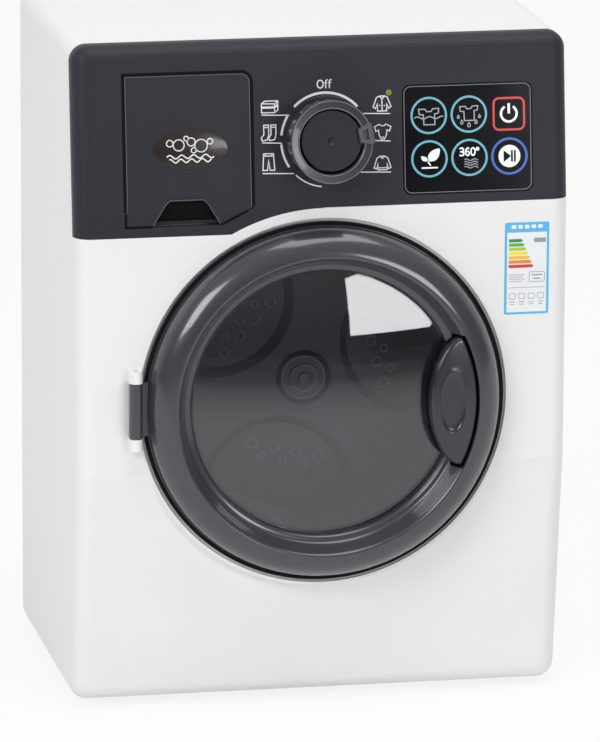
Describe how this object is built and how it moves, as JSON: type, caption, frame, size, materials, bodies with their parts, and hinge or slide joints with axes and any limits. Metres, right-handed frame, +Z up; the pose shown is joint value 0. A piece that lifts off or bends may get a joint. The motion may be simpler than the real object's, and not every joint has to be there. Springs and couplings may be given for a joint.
{
  "type": "toy washing machine",
  "caption": "Toy front-loading washing machine: round smoked door on a side hinge, turning drum, program knob, touch panel and pull-out detergent drawer.",
  "frame": {"origin": "centre of the bounding box, at the height of the feet's soles", "axes": "+Z up, the door faces -Y, +X is to the right of someone who looks at the door"},
  "size_m": [0.2, 0.1582, 0.272],
  "materials": {
    "white_casing": "moulded ABS, light gloss",
    "graphite_panel": "moulded ABS, satin",
    "graphite_gloss": "moulded ABS, glossy",
    "black_gloss": "printed acrylic",
    "smoked_clear": "smoked clear polystyrene",
    "drum_plastic": "moulded, glossy",
    "white_nylon": "moulded nylon",
    "steel": "plated steel",
    "brass": "turned",
    "black_plastic": "moulded",
    "board_green": "glass-fibre board with solder mask",
    "lamp_clear": "clear LED",
    "rubber_foot": "soft foot"
  },
  "bodies": {
    "casing": {"front_housing": "white_casing", "rear_housing": "white_casing", "control_fascia": "graphite_panel", "casing_feet": "rubber_foot", "housing_screws": "steel", "touch_panel": "black_gloss", "touch_board": "board_green", "board_screws": "steel", "main_board": "board_green", "dial_switch": "black_plastic", "drawer_bay": "white_casing", "speaker": "black_plastic", "speaker_clamp": "white_nylon", "tub_collar": "white_casing", "drum_lamp": "lamp_clear", "drum_bush": "brass", "gearbox_front": "white_nylon", "gearbox_rear": "white_nylon", "gearbox_screws": "steel", "motor": "steel", "gear_axle": "steel", "battery_box": "white_casing", "battery_contacts": "steel", "battery_cover": "white_casing", "cover_screw": "steel", "hinge_pin": "steel", "latch_spring": "steel"},
    "door": {"door_ring": "graphite_gloss", "door_window": "smoked_clear", "door_inner_ring": "graphite_gloss", "door_handle": "graphite_gloss", "grip_pocket": "black_plastic", "door_latch": "graphite_gloss", "door_screws": "steel"},
    "drum": {"drum": "drum_plastic", "drum_screw": "steel", "drum_shaft": "steel", "drum_gear": "white_nylon"},
    "compound": {"compound_gear": "white_nylon"},
    "pinion": {"motor_pinion": "brass", "motor_shaft": "steel"},
    "knob": {"knob_base": "graphite_gloss", "knob_crown": "smoked_clear", "knob_screw": "steel"},
    "drawer": {"drawer_front": "graphite_panel", "drawer_tray": "white_casing"}
  },
  "joints": [
    {"name": "door_hinge", "type": "hinge", "parent": "casing", "child": "door", "pos_m": [-0.0766, -0.0696, 0.127], "axis": [0, 0, -1], "range_deg": [0, 110]},
    {"name": "drum_spin", "type": "hinge", "parent": "casing", "child": "drum", "pos_m": [0, -0.046, 0.127], "axis": [0, 1, 0], "continuous": true},
    {"name": "compound_spin", "type": "hinge", "parent": "casing", "child": "compound", "pos_m": [0, -0.011, 0.151], "axis": [0, 1, 0], "continuous": true},
    {"name": "pinion_spin", "type": "hinge", "parent": "casing", "child": "pinion", "pos_m": [0, -0.006, 0.175], "axis": [0, 1, 0], "continuous": true},
    {"name": "knob_turn", "type": "hinge", "parent": "casing", "child": "knob", "pos_m": [0.0008, -0.06265, 0.23329], "axis": [0, -0.9925, 0.1219], "continuous": true},
    {"name": "drawer_slide", "type": "slide", "parent": "casing", "child": "drawer", "axis": [0, -1, 0], "range_m": [0, 0.03]}
  ],
  "couplings": [
    {"joint": "compound_spin", "follows": "drum_spin", "ratio": -5},
    {"joint": "pinion_spin", "follows": "drum_spin", "ratio": 25}
  ]
}
